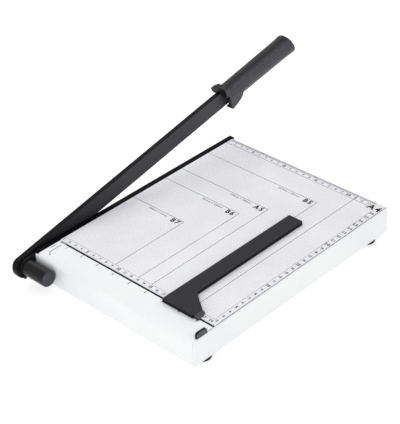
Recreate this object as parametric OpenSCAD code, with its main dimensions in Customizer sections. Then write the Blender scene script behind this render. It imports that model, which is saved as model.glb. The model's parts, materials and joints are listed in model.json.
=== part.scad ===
// Guillotine paper cutter: a pressed steel table with a hinged blade arm along its left edge
// and a sliding back gauge in a slot.
// Working coordinates: X runs right from the shear plane, Y runs back along the cutting edge
// from the paper zero, Z is up from the face of the printed sheet.
// place() then moves everything so that the origin is under the middle of the whole cutter.

/* [Table] */
// Width of the painted table, right of the bed knife
table_w = 244; // [200:1:300]
// Depth of the table from front wall to back wall
table_d = 325; // [280:1:420]
// Height of the base without its feet
base_h = 33; // [33:1:50]
// Distance from the paper zero to the front wall
front_d = 22.5; // [20:0.5:30]
// Thickness of the pressed sheet steel
steel_t = 1; // [0.8:0.1:1.5]
// Outside radius of the bend along the front
front_r = 7; // [3:0.5:8]
// Outside radius of the other top edges
edge_r = 1.5; // [1.2:0.1:3]
// Width of the flanges that turn in under the two sides
side_flange_w = 24; // [22:1:40]
// Width of the flanges under the front and the back
end_flange_w = 10; // [6:1:20]
// Thickness of the printed scale sheet
sheet_t = 0.3; // [0.2:0.1:0.5]

/* [Gauge slot] */
// Middle of the slot, behind the paper zero
slot_y = 10.8; // [9:0.1:14]
// Width of the slot
slot_w = 3; // [2.6:0.1:4]
// Left end of the slot
slot_x = 10.5; // [10:0.5:20]

/* [Cutting edge] */
// Width of the bed knife on top of the table's left edge
knife_w = 7.5; // [7:0.5:10]
// Thickness of the bed knife
knife_t = 3; // [2.5:0.5:4]
// Thickness of the side rail that carries the pivot
rail_t = 2.5; // [2:0.5:2.5]
// Height of the side rail
rail_h = 30; // [24:1:30]

/* [Pivot] */
// Distance of the pivot in front of the paper zero
pivot_front = 32.6; // [32.5:0.1:38]
// Depth of the pivot below the table face
pivot_drop = 14.6; // [12:0.1:18]
// Diameter of the pivot bolt
bolt_d = 8; // [6:1:8]
// Diameter of the spring cover
cover_d = 20; // [18:0.5:20]
// Length of the spring cover
cover_l = 35; // [34:1:40]

/* [Blade arm] */
// Angle of the arm above the table as drawn
arm_angle = 11.75; // [2:0.25:55]
// Height of the arm's spine above the pivot line
spine_h = 12.7; // [12:0.1:15]
// Depth of the cutting edge below the pivot line
edge_drop = 8.5; // [8:0.1:12]
// Radius of the arm's round pivot end
lobe_r = 16; // [15:0.5:18]
// Thickness of the blade plate
blade_t = 2.5; // [2:0.1:3]
// Width of the turned rim along the spine
rim_w = 6.5; // [4:0.1:8]
// Thickness of the turned rim
rim_t = 2.2; // [1.6:0.1:3]
// Running gap between the moving blade and the bed knife
blade_gap = 0.3; // [0.2:0.05:0.5]

/* [Handle] */
// Distance from the pivot to the front of the hand guard
handle_s = 338; // [338:1:400]
// Length of the handle with its end cap
handle_l = 130.5; // [120:0.5:150]
// Radius of the grip next to the guard
grip_r1 = 12.8; // [12:0.1:14]
// Radius of the grip next to the end cap
grip_r2 = 13.5; // [12.5:0.1:15]
// Height of the grip's axis above the pivot line
grip_n = 4.2; // [3:0.1:6]
// Length of the end cap
cap_l = 20; // [16:1:30]

/* [Back gauge] */
// Place of the gauge's left face along the slot, as drawn
gauge_x = 178; // [40:1:195]
// Length of the gauge from its front edge to its tip
gauge_l = 207; // [120:1:260]
// Width of the gauge's bar
gauge_w = 21; // [15:1:30]
// Thickness of the gauge
gauge_t = 4; // [3:0.5:6]

/* [Feet] */
// Diameter of a rubber foot
foot_d = 21; // [14:1:21]
// Height of a rubber foot
foot_h = 7; // [4:0.5:9]

/* [Hidden] */
$fn = 48;

// Walls of the base
wall_x0 = 0.5 + rail_t;
wall_x1 = knife_w + table_w;
wall_y0 = -front_d;
wall_y1 = table_d - front_d;
shell_z = -sheet_t;
slot_y0 = slot_y - slot_w / 2;
slot_y1 = slot_y + slot_w / 2;

// Side rail and its screws
rail_x0 = 0.5;
rail_y1 = wall_y1 + 2.5;
lug_r = 11;
rail_screw_y = [12, 104, 196, 288];
rail_screw_z = -20;
knife_screw_y = [6, 80, 154, 228, 296];
knife_screw_x = 6;

// Pivot
pivot_y = -pivot_front;
pivot_z = -pivot_drop;
bolt_r = bolt_d / 2;
cover_wall = 1.3;
cover_x0 = wall_x0 + 0.2;
seat_t = 1.5;
spring_x0 = wall_x0 + seat_t;
spring_x1 = 25.4;
nut_x0 = 27;
nut_t = 6.5;

// Blade arm: x of its two faces, its corner arc and its tang
blade_x1 = -blade_gap;
blade_x0 = blade_x1 - blade_t;
rim_x0 = blade_x1 - rim_w;
corner_r = 8;
corner_n = spine_h - corner_r;
corner_s = -sqrt(pow(lobe_r - corner_r, 2) - pow(corner_n, 2));
corner_a = atan2(corner_n, corner_s);
edge_a = -asin(edge_drop / lobe_r);
blade_end_s = handle_s + 5;
tang_end_s = handle_s + 84;
tang_n0 = -4;
tang_n1 = 8;
stop_pin_r = 2.2;
stop_pin_a = -128;
stop_pin_d = lug_r + stop_pin_r + 0.7;

// Handle
grip_x = blade_x0 - 0.5;
cap_s0 = handle_s + handle_l - cap_l;
cap_dome = 4.5;
cap_r = grip_r2 + 0.6;
grip_screw_s = [handle_s + 24, handle_s + 70];

// Back gauge
gauge_gap = 0.3;
gauge_y0 = slot_y - 5.4;
flare_r = 7;
foot_x1 = 46;
shoe_x0 = gauge_x + 6;
shoe_l = 34;
shoe_w = 10;
shoe_t = 3;
channel_w = 14;
channel_d = 8;
channel_t = 1.2;
gauge_screw_x = [shoe_x0 + 7, shoe_x0 + shoe_l - 7];

// Feet
foot_x = [knife_w + 6.5, wall_x1 - 13];
foot_y = [2, wall_y1 - 23.5];
foot_hole_r = 1.8;

// End stop
stop_x1 = wall_x1 - 1.1;
stop_w = 2.8;
stop_y0 = -16.2;
stop_l = 15.4;
stop_h = 6.7;

// Middle and bottom of the whole cutter, arm as drawn
reach_y = pivot_y + (handle_s + handle_l) * cos(arm_angle) - grip_n * sin(arm_angle);
mid_x = (wall_x1 + grip_x - cap_r) / 2;
mid_y = (reach_y + pivot_y - lobe_r) / 2;
bottom_z = -base_h - foot_h;

// ---- helpers ----

// Points along a round arc, both ends included
function arc(c, r, a0, a1, n) = [for (i = [0:n]) let (a = a0 + (a1 - a0) * i / n)
  [c[0] + r * cos(a), c[1] + r * sin(a)]];

module place() {
  translate([-mid_x, -mid_y, -bottom_z]) children();
}

// Arm coordinates: X across, Y along the arm from the pivot, Z square to it
module on_arm() {
  place() translate([0, pivot_y, pivot_z]) rotate([arm_angle, 0, 0]) children();
}

// Extrudes a (y, z) outline from x0 to x1
module along_x(x0, x1) {
  translate([x0, 0, 0]) rotate([90, 0, 90]) linear_extrude(x1 - x0) children();
}

// Extrudes an (x, z) outline from y0 to y1
module along_y(y0, y1) {
  translate([0, y1, 0]) rotate([90, 0, 0]) linear_extrude(y1 - y0) children();
}

// A round bar along X
module rod(x0, x1, r) {
  translate([x0, 0, 0]) rotate([0, 90, 0]) cylinder(h = x1 - x0, r = r);
}

// A hexagon bar along X
module hex(x0, x1, flats) {
  translate([x0, 0, 0]) rotate([0, 90, 0]) cylinder(h = x1 - x0, r = flats / 2 / cos(30), $fn = 6);
}

module at_pivot() {
  place() translate([0, pivot_y, pivot_z]) children();
}

// ---- base ----

// The solid block of the base, inset by g on every side that has sheet steel
module base_block(g) {
  bottom = -base_h - g;
  inner_edge = edge_r - g;
  intersection() {
    along_y(wall_y0 - 5, wall_y1 + 5) polygon(concat(
      [[wall_x0 + g, bottom], [wall_x0 + g, -knife_t - g], [knife_w + g, -knife_t - g],
       [knife_w + g, shell_z - g]],
      arc([wall_x1 - edge_r, shell_z - edge_r], inner_edge, 90, 0, 4),
      [[wall_x1 - g, bottom]]));
    along_x(wall_x0 - 5, wall_x1 + 5) polygon(concat(
      [[wall_y0 + g, bottom]],
      arc([wall_y0 + front_r, shell_z - front_r], front_r - g, 180, 90, 12),
      arc([wall_y1 - edge_r, shell_z - edge_r], inner_edge, 90, 0, 4),
      [[wall_y1 - g, bottom]]));
  }
}

module bottom_flanges() {
  overlap = steel_t / 2;
  difference() {
    translate([wall_x0 + overlap, wall_y0 + overlap, -base_h])
      cube([wall_x1 - wall_x0 - 2 * overlap, table_d - 2 * overlap, steel_t]);
    translate([wall_x0 + side_flange_w, wall_y0 + end_flange_w, -base_h - 1])
      cube([wall_x1 - wall_x0 - 2 * side_flange_w, table_d - 2 * end_flange_w, steel_t + 2]);
  }
}

module base_shell() color("whitesmoke") place() {
  difference() {
    union() {
      difference() {
        base_block(0);
        base_block(steel_t);
      }
      bottom_flanges();
    }
    translate([slot_x, slot_y0, -2.2]) cube([wall_x1 - 2 - slot_x, slot_w, 8]);
    for (y = rail_screw_y)
      translate([0, y, rail_screw_z]) rod(wall_x0 - 1, wall_x0 + steel_t + 1, 2.05);
    for (y = knife_screw_y)
      translate([knife_screw_x, y, -10]) cylinder(h = 9, r = 1.3);
    for (x = foot_x, y = foot_y)
      translate([x, y, -base_h - 1]) cylinder(h = steel_t + 2, r = foot_hole_r);
    for (y = [4, 11])
      translate([stop_x1 - stop_w / 2, stop_y0 + y, -4]) cylinder(h = 5, r = 1.05);
  }
}

module scale_sheet() color("lavender") place() {
  translate([knife_w + 0.5, slot_y1 + 0.3, shell_z])
    cube([table_w - edge_r - 0.7, wall_y1 - edge_r - slot_y1 - 0.5, sheet_t]);
}

// Channel under the slot that the gauge's shoe runs in
module guide_rail() color("dimgray") place() {
  top = shell_z - steel_t;
  difference() {
    translate([slot_x + 1.5, slot_y - channel_w / 2, top - channel_d])
      cube([table_w - 6, channel_w, channel_d]);
    translate([0, slot_y - channel_w / 2 + channel_t, top - channel_d + channel_t])
      cube([table_w + 20, channel_w - 2 * channel_t, channel_d]);
  }
}

module foot(x, y) color("#303032") place() {
  translate([x, y, -base_h - foot_h]) difference() {
    rotate_extrude($fn = 64) polygon([[0, 0], [foot_d / 2 - 1.2, 0], [foot_d / 2 - 0.4, 0.8],
      [foot_d / 2, foot_h - 0.8], [foot_d / 2 - 0.4, foot_h], [0, foot_h]]);
    translate([0, 0, -1]) cylinder(h = 3.2, r = 4.8);
    cylinder(h = foot_h + 1, r = foot_hole_r);
  }
}

module foot_front_left() foot(foot_x[0], foot_y[0]);
module foot_front_right() foot(foot_x[1], foot_y[0]);
module foot_back_left() foot(foot_x[0], foot_y[1]);
module foot_back_right() foot(foot_x[1], foot_y[1]);

module foot_screws() color("silver") place() {
  for (x = foot_x, y = foot_y) translate([x, y, -base_h - foot_h + 2.2]) {
    translate([0, 0, -1.6]) cylinder(h = 1.6, r = 3.4);
    cylinder(h = foot_h + 2.5, r = foot_hole_r - 0.05);
  }
}

// ---- cutting edge ----

module side_rail() color("#2c2c2f") place() {
  difference() {
    along_x(rail_x0, wall_x0) polygon(concat(
      [[rail_y1, -knife_t], [rail_y1, -knife_t - rail_h], [wall_y0 + 14, -knife_t - rail_h]],
      arc([pivot_y, pivot_z], lug_r, -70, -262, 32),
      [[wall_y0 + 2, -knife_t]]));
    translate([0, pivot_y, pivot_z]) rod(rail_x0 - 1, wall_x0 + 1, bolt_r + 0.05);
    for (y = rail_screw_y) translate([0, y, rail_screw_z]) {
      rod(rail_x0 - 1, wall_x0 + 1, 2.05);
      translate([rail_x0 - 0.01, 0, 0]) rotate([0, 90, 0]) cylinder(h = 2, r1 = 4.05, r2 = 2.05);
    }
  }
}

module rail_screws() color("gray") place() {
  for (y = rail_screw_y) translate([0, y, rail_screw_z]) {
    rod(rail_x0, wall_x0 + 7, 2);
    translate([rail_x0, 0, 0]) rotate([0, 90, 0]) cylinder(h = 2, r1 = 4, r2 = 2);
  }
}

module rail_nuts() color("silver") place() {
  for (y = rail_screw_y) translate([0, y, rail_screw_z]) difference() {
    hex(wall_x0 + steel_t, wall_x0 + steel_t + 3.2, 7);
    rod(wall_x0, wall_x0 + 6, 2.02);
  }
}

module bed_knife() color("#1d1d20") place() {
  difference() {
    along_x(0, knife_w) polygon(concat(
      [[rail_y1, 0], [rail_y1, -knife_t], [wall_y0 + 2, -knife_t]],
      arc([wall_y0 + front_r, -front_r], front_r, acos((2 - front_r) / front_r), 90, 8)));
    for (y = knife_screw_y)
      translate([knife_screw_x, y, -knife_t - 1]) cylinder(h = knife_t, r = 1.22);
  }
}

module knife_screws() color("silver") place() {
  for (y = knife_screw_y) translate([knife_screw_x, y, -knife_t - steel_t]) {
    cylinder(h = steel_t + 1.8, r = 1.2);
    translate([0, 0, -1.6]) cylinder(h = 1.6, r = 1.9);
  }
}

// ---- end stop ----

module end_stop() color("#3a3a3d") place() {
  difference() {
    translate([stop_x1 - stop_w, 0, 0]) along_x(0, stop_w) polygon(concat(
      arc([stop_y0 + 3, stop_h - 3], 3, 180, 90, 6),
      arc([stop_y0 + stop_l - 3, stop_h - 3], 3, 90, 0, 6),
      [[stop_y0 + stop_l, -1.6], [stop_y0, -1.6]]));
    base_block(0);
    for (y = [4, 11])
      translate([stop_x1 - stop_w / 2, stop_y0 + y, -3]) cylinder(h = 6, r = 1.02);
  }
}

module stop_rivets() color("gray") place() {
  for (y = [4, 11]) translate([stop_x1 - stop_w / 2, stop_y0 + y, 0]) {
    translate([0, 0, -2.5]) cylinder(h = 5.4, r = 1);
    translate([0, 0, -2.5]) cylinder(h = 1.1, r = 1.2);
  }
}

// ---- pivot ----

module pivot_bolt() color("silver") at_pivot() {
  head_x = blade_x0 - 1.3;
  hex(head_x - 3.6, head_x, 12);
  rod(head_x - 0.5, nut_x0 + nut_t + 0.4, bolt_r);
}

module bolt_washer() color("silver") on_arm() {
  difference() {
    rod(blade_x0 - 1.2, blade_x0, 9);
    rod(blade_x0 - 2, blade_x0 + 1, bolt_r + 0.06);
  }
}

module pivot_bush() color("goldenrod") on_arm() {
  difference() {
    rod(blade_x0, blade_x1, 6);
    rod(blade_x0 - 1, blade_x1 + 1, bolt_r + 0.05);
  }
}

module spring_seat() color("silver") at_pivot() {
  difference() {
    rod(wall_x0, spring_x0, 7.4);
    rod(wall_x0 - 1, spring_x0 + 1, bolt_r + 0.05);
  }
}

// One closed tube swept along a helix about X
module helix(x0, x1, coil_r, wire_r, turns, steps, sides) {
  rings = turns * steps;
  pitch_x = (x1 - x0 - 2 * wire_r) / rings;
  points = [for (i = [0:rings], k = [0:sides - 1]) let (
      a = 360 * i / steps, b = 360 * k / sides, r = coil_r + wire_r * cos(b))
    [x0 + wire_r + pitch_x * i + wire_r * sin(b), r * cos(a), r * sin(a)]];
  side_faces = [for (i = [0:rings - 1], k = [0:sides - 1]) let (
      j = (k + 1) % sides, p = i * sides, q = p + sides)
    [p + k, q + k, q + j, p + j]];
  polyhedron(points, concat(side_faces,
    [[for (k = [0:sides - 1]) k], [for (k = [0:sides - 1]) rings * sides + sides - 1 - k]]));
}

module pivot_spring() color("silver") at_pivot() {
  helix(spring_x0 + 0.05, spring_x1 - 0.05, 6.1, 0.9, 5, 20, 8);
}

module spring_washer() color("silver") at_pivot() {
  difference() {
    rod(spring_x1, nut_x0, 7.4);
    rod(spring_x1 - 1, nut_x0 + 1, bolt_r + 0.05);
  }
}

module lock_nut() color("silver") at_pivot() {
  difference() {
    hex(nut_x0, nut_x0 + nut_t, 13);
    rod(nut_x0 - 1, nut_x0 + nut_t + 1, bolt_r + 0.02);
  }
}

// The cover hangs on the spring, so it sits a little below the bolt's line
module spring_cover() color("#26262a") at_pivot() translate([0, -0.6, -1]) {
  difference() {
    rod(cover_x0, cover_x0 + cover_l - 1, cover_d / 2);
    rod(cover_x0 - 1, cover_x0 + cover_l - 1 - cover_wall, cover_d / 2 - cover_wall);
  }
  translate([cover_x0 + cover_l - 1.5, 0, 0]) rotate([0, 90, 0])
    cylinder(h = 1.5, r1 = cover_d / 2 - 0.1, r2 = cover_d / 2 - 1.2);
}

// ---- blade arm ----

// Outline of the arm's plate, inset by g along the spine and round the pivot end
function arm_outline(g, end_s) = concat(
  [[end_s, -edge_drop]],
  arc([0, 0], lobe_r - g, edge_a, corner_a - 360, 40),
  arc([corner_s, corner_n], corner_r - g, corner_a, 90, 10),
  [[end_s, spine_h - g]]);

module blade_arm() color("#47474b") on_arm() {
  difference() {
    union() {
      along_x(blade_x0, blade_x1) polygon(arm_outline(0, blade_end_s));
      along_x(blade_x0, blade_x1)
        translate([blade_end_s - 5, tang_n0]) square([tang_end_s - blade_end_s + 5, tang_n1 - tang_n0]);
      along_x(rim_x0, blade_x1 - 0.5) difference() {
        polygon(arm_outline(0, handle_s - 0.5));
        polygon(arm_outline(rim_t, handle_s + 10));
        polygon([[0, 0], 40 * [cos(-104), sin(-104)], [handle_s + 20, -60], [handle_s + 20, 0]]);
      }
    }
    // ground bevel on the outer side of the cutting edge
    translate([blade_x0 - 0.01, 25, -edge_drop - 0.01]) along_y(0, blade_end_s)
      polygon([[-1, -1], [blade_t - 0.5, -1], [blade_t - 0.5, 0], [0, 4.5], [-1, 4.5]]);
    rod(blade_x0 - 1, blade_x1 + 1, 6.02);
    translate([0, stop_pin_d * cos(stop_pin_a), stop_pin_d * sin(stop_pin_a)])
      rod(rim_x0 - 1, blade_x1 + 1, stop_pin_r + 0.02);
    for (s = grip_screw_s) translate([0, s, 2]) rod(blade_x0 - 1, blade_x1 + 1, 2.05);
  }
}

// Pin that meets the rail under the pivot and ends the arm's upward travel
module stop_pin() color("#2b2b2e") on_arm() {
  translate([0, stop_pin_d * cos(stop_pin_a), stop_pin_d * sin(stop_pin_a)])
    rod(rim_x0, wall_x0 - 0.2, stop_pin_r);
}

// ---- handle ----

module handle_grip() color("#45454a") on_arm() {
  x0 = grip_x - 12.8;
  x1 = grip_x + 13.2;
  guard_s = handle_s + 0.5;
  difference() {
    union() {
      translate([grip_x, handle_s + 2, grip_n]) rotate([-90, 0, 0])
        cylinder(h = cap_s0 - handle_s - 2, r1 = grip_r1, r2 = grip_r2, $fn = 64);
      // guard across the front of the grip: a lip on top, and a plate down the table's side
      along_y(handle_s - 4, handle_s + 3) polygon(concat(
        [[x1, 9], [x0 + 3, 9]],
        arc([x0 + 4, 13], 4, 180, 90, 6),
        [[x0 + 8, 20.5]],
        arc([x1 - 4, 16.5], 4, 90, 0, 6)));
      along_y(guard_s, handle_s + 3)
        translate([blade_x1 + 0.2, -11.5]) square([x1 - blade_x1 - 0.2, 21]);
      // finger guard below the front of the grip
      along_x(grip_x + 4, x1) polygon(concat(
        [[guard_s, 5]],
        arc([guard_s + 3, -9.5], 3, 180, 300, 8),
        [[handle_s + 16, -8.5], [handle_s + 22, -5], [handle_s + 27, 1], [handle_s + 30, 5]]));
    }
    // pocket for the end of the blade, and the slot for its tang
    translate([blade_x0 - 0.1, handle_s - 10, -edge_drop - 10])
      cube([blade_t + 0.2, blade_end_s - handle_s + 10.1, spine_h + edge_drop + 10.2]);
    translate([rim_x0 - 0.2, handle_s - 10, spine_h - rim_t - 0.2])
      cube([rim_w + 0.3, 10, rim_t + 0.4]);
    translate([blade_x0 - 0.05, handle_s, tang_n0 - 0.05])
      cube([blade_t + 0.1, tang_end_s - handle_s + 0.5, tang_n1 - tang_n0 + 0.1]);
    for (s = grip_screw_s) translate([0, s, 2]) {
      rod(-30, grip_x + 9, 2.02);
      rod(-30, grip_x - 9, 4);
    }
    translate([grip_x, cap_s0 - 13, grip_n]) rotate([-90, 0, 0]) cylinder(h = 14, r = 8);
  }
}

module handle_cap() color("#38383c") on_arm() {
  rim_s = cap_s0 + cap_l - cap_dome;
  dome_r = (pow(cap_r - 1.5, 2) + pow(cap_dome, 2)) / (2 * cap_dome);
  dome_a = asin((cap_r - 1.5) / dome_r);
  translate([grip_x, 0, grip_n]) rotate([-90, 0, 0]) rotate_extrude($fn = 64) polygon(concat(
    [[0, cap_s0 - 12], [7.95, cap_s0 - 12], [7.95, cap_s0], [cap_r - 0.5, cap_s0],
     [cap_r, cap_s0 + 0.7], [cap_r, rim_s - 1.2]],
    [for (i = [0:12]) let (a = dome_a * (1 - i / 12))
      [dome_r * sin(a), rim_s + cap_dome - dome_r * (1 - cos(a))]]));
}

module handle_screws() color("gray") on_arm() {
  for (s = grip_screw_s) translate([0, s, 2]) {
    rod(grip_x - 9.5, grip_x + 8.5, 2);
    rod(grip_x - 11, grip_x - 9, 3.8);
  }
}

// ---- back gauge ----

module back_gauge() color("#3a3a3e") place() {
  y1 = gauge_y0 + gauge_l;
  difference() {
    union() {
      translate([gauge_x, 0, gauge_gap]) linear_extrude(gauge_t) polygon(concat(
        [[0, gauge_y0 + 1.5], [1.5, gauge_y0], [foot_x1 - 1.5, gauge_y0], [foot_x1, gauge_y0 + 1.5]],
        arc([foot_x1 - 5, gauge_y0 + 12], 5, 0, 58, 6),
        arc([gauge_w + flare_r, gauge_y0 + 36], flare_r, 238, 180, 8),
        arc([gauge_w - 3, y1 - 3], 3, 0, 90, 6),
        [[0, y1]]));
      // low grip tab at the right end of the foot
      translate([gauge_x + foot_x1 - 3, gauge_y0 + 2, gauge_gap]) linear_extrude(gauge_t - 1.4)
        polygon(concat([[0, 0]], arc([8, 2.5], 2.5, -90, 0, 5), arc([8, 10.5], 2.5, 0, 90, 5), [[0, 13]]));
      translate([shoe_x0, slot_y - slot_w / 2 + 0.2, shell_z - steel_t - 0.3])
        cube([shoe_l, slot_w - 0.4, steel_t + sheet_t + gauge_gap + 0.8]);
    }
    for (x = gauge_screw_x)
      translate([x, slot_y, shell_z - steel_t - 2]) cylinder(h = 5, r = 1.02);
  }
}

module gauge_shoe() color("silver") place() {
  top = shell_z - steel_t - 0.3;
  difference() {
    translate([shoe_x0, slot_y - shoe_w / 2, top - shoe_t]) cube([shoe_l, shoe_w, shoe_t]);
    for (x = gauge_screw_x) translate([x, slot_y, top - shoe_t - 1]) cylinder(h = shoe_t + 2, r = 1.05);
  }
}

// Bowed leaf that presses on the channel's floor
module gauge_spring() color("gray") place() {
  top = shell_z - steel_t - 0.3 - shoe_t;
  leaf_t = 0.4;
  bow = 2.6;
  half = shoe_l / 2;
  flat = 11;
  difference() {
    translate([shoe_x0 + half, 0, top]) along_y(slot_y - 3, slot_y + 3) polygon([
      [-half + 2, 0], [-half + 2, -leaf_t], [-half + flat, -leaf_t], [-2, -leaf_t - bow],
      [2, -leaf_t - bow], [half - flat, -leaf_t], [half - 2, -leaf_t], [half - 2, 0],
      [half - flat, 0], [2, -bow], [-2, -bow], [-half + flat, 0]]);
    for (x = gauge_screw_x) translate([x, slot_y, top - 2]) cylinder(h = 4, r = 1.05);
  }
}

module gauge_screws() color("silver") place() {
  top = shell_z - steel_t - 0.3 - shoe_t - 0.4;
  for (x = gauge_screw_x) translate([x, slot_y, top]) {
    translate([0, 0, -1.6]) cylinder(h = 1.6, r = 2.2);
    cylinder(h = shoe_t + 3, r = 1);
  }
}

base_shell();
scale_sheet();
guide_rail();
side_rail();
rail_screws();
rail_nuts();
bed_knife();
knife_screws();
foot_front_left();
foot_front_right();
foot_back_left();
foot_back_right();
foot_screws();
end_stop();
stop_rivets();
pivot_bolt();
spring_seat();
pivot_spring();
spring_washer();
lock_nut();
spring_cover();
blade_arm();
stop_pin();
pivot_bush();
bolt_washer();
handle_grip();
handle_cap();
handle_screws();
back_gauge();
gauge_shoe();
gauge_spring();
gauge_screws();
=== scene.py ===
import json
import math
import bpy
import bmesh
from mathutils import Matrix, Vector


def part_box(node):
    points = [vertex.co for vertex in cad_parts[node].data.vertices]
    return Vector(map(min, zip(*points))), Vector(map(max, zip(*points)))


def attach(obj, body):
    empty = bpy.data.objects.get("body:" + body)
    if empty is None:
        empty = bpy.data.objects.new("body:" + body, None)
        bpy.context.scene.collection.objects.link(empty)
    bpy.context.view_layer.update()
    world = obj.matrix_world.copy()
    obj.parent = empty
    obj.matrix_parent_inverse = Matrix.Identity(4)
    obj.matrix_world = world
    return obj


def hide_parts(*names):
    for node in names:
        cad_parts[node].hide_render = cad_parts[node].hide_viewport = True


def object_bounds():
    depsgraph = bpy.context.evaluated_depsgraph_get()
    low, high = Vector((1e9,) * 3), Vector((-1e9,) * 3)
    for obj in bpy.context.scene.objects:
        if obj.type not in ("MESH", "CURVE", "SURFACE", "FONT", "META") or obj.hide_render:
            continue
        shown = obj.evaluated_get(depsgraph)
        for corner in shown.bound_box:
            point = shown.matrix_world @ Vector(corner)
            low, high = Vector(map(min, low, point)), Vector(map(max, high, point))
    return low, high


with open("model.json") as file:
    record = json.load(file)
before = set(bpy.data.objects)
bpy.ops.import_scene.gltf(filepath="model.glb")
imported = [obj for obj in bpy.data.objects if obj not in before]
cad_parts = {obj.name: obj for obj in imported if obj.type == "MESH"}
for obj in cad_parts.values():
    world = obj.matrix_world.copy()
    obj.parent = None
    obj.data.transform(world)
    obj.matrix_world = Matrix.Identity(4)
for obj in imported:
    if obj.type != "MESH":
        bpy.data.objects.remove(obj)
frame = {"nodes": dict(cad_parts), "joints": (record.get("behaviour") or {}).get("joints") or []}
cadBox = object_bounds()

# Every piece is drawn in millimetres and is put in its place, in metres, when it is finished.
# On the table: x right from the shear plane, y back from the paper zero, z up from the sheet.
# On the arm: x right from the shear plane, y along the arm from its pivot, z square to both.
armHinge = next(j for j in frame["joints"] if j["name"] == "arm_hinge")["pos_m"]
frontWall = -22.5  # mm from the paper zero
armLift = 11.75  # degrees above the table at rest
millimetres = Matrix.Scale(0.001, 4)
tableZero = Vector((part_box("bed_knife")[0].x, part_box("base_shell")[0].y - frontWall * 0.001,
                    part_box("scale_sheet")[1].z))
onTable = Matrix.Translation(tableZero) @ millimetres
atPivot = Matrix.Translation(armHinge) @ millimetres
onArm = Matrix.Translation(armHinge) @ Matrix.Rotation(math.radians(armLift), 4, "X") @ millimetres
print("frame loaded, paper zero at", tuple(round(v, 5) for v in tableZero))


# Points along an arc between two angles in degrees
def arc(centre, radius, start, end, steps=8):
    turns = [math.radians(start + (end - start) * i / steps) for i in range(steps + 1)]
    return [(centre[0] + radius * math.cos(a), centre[1] + radius * math.sin(a)) for a in turns]


def roundedBox(u0, v0, u1, v1, radii, steps=6):  # radii: low-low, high-low, high-high, low-high
    corners = ((u0, v0, 1, 1, 180), (u1, v0, -1, 1, 270), (u1, v1, -1, -1, 0), (u0, v1, 1, -1, 90))
    outline = []
    for (u, v, du, dv, start), r in zip(corners, radii):
        outline += arc((u + du * r, v + dv * r), r, start, start + 90, steps) if r else [(u, v)]
    return outline


def asObject(mesh, name="shape"):
    bmesh.ops.recalc_face_normals(mesh, faces=mesh.faces)
    data = bpy.data.meshes.new(name)
    mesh.to_mesh(data)
    mesh.free()
    shape = bpy.data.objects.new(name, data)
    bpy.context.scene.collection.objects.link(shape)
    return shape


# Draws an outline out along an axis
def prism(axis, outline, low, high):  # x takes (y, z) points, y takes (x, z), z takes (x, y)
    turn = {"x": lambda u, v, w: (w, u, v), "y": lambda u, v, w: (u, w, v), "z": lambda u, v, w: (u, v, w)}[axis]
    mesh = bmesh.new()
    near = [mesh.verts.new(turn(u, v, low)) for u, v in outline]
    far = [mesh.verts.new(turn(u, v, high)) for u, v in outline]
    mesh.faces.new(near)
    mesh.faces.new(far)
    for i in range(len(near)):
        j = (i + 1) % len(near)
        mesh.faces.new((near[i], near[j], far[j], far[i]))
    return asObject(mesh)


# Turns a closed profile of (along, radius) points about an axis through the centre
def turned(axis, profile, centre=(0, 0), steps=64):
    place = {"x": lambda a, p, q: (a, p, q), "y": lambda a, p, q: (p, a, q), "z": lambda a, p, q: (p, q, a)}[axis]
    mesh = bmesh.new()
    rings = []
    for along, radius in profile:
        if radius < 1e-6:
            rings.append([mesh.verts.new(place(along, *centre))])
            continue
        turns = [2 * math.pi * i / steps for i in range(steps)]
        rings.append([mesh.verts.new(place(along, centre[0] + radius * math.cos(a),
                                           centre[1] + radius * math.sin(a))) for a in turns])
    for first, second in zip(rings, rings[1:] + rings[:1]):
        if len(first) == len(second) == 1:
            continue
        for i in range(steps):
            j = (i + 1) % steps
            corners = [first[i % len(first)], first[j % len(first)], second[j % len(second)], second[i % len(second)]]
            mesh.faces.new(list(dict.fromkeys(corners)))
    return asObject(mesh)


def rod(axis, start, end, radius, centre=(0, 0), steps=64):
    return turned(axis, [(start, 0), (start, radius), (end, radius), (end, 0)], centre, steps)


# Applies a shape's modifiers to its mesh
def settle(shape):
    bpy.context.view_layer.update()
    done = bpy.data.meshes.new_from_object(shape.evaluated_get(bpy.context.evaluated_depsgraph_get()))
    shape.modifiers.clear()
    shape.data = done
    return shape


# Joins other shapes to a shape, which uses them up
def combine(shape, others, how="UNION"):
    for other in others:
        step = shape.modifiers.new("combine", "BOOLEAN")
        step.operation, step.solver, step.object = how, "EXACT", other
    settle(shape)
    for other in others:
        bpy.data.objects.remove(other)
    return shape


def cut(shape, *others):
    return combine(shape, others, "DIFFERENCE")


# Welds what a cut leaves, then rounds every edge sharper than the angle
def soften(shape, width, steps=2, angle=32):
    mesh = bmesh.new()
    mesh.from_mesh(shape.data)
    bmesh.ops.remove_doubles(mesh, verts=mesh.verts, dist=0.004)
    bmesh.ops.dissolve_limit(mesh, angle_limit=0.005, verts=mesh.verts, edges=mesh.edges)
    mesh.to_mesh(shape.data)
    mesh.free()
    bevel = shape.modifiers.new("soften", "BEVEL")
    bevel.width, bevel.segments, bevel.angle_limit = width, steps, math.radians(angle)
    return settle(shape)


# Makes one even skin of a joined shape and smooths it, as a mould would
def remesh(shape, voxel, smoothing):
    grid = shape.modifiers.new("moulded", "REMESH")
    grid.mode, grid.voxel_size, grid.use_smooth_shade = "VOXEL", voxel, True
    relax = shape.modifiers.new("relax", "SMOOTH")
    relax.factor, relax.iterations = 0.5, smoothing
    return settle(shape)


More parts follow.
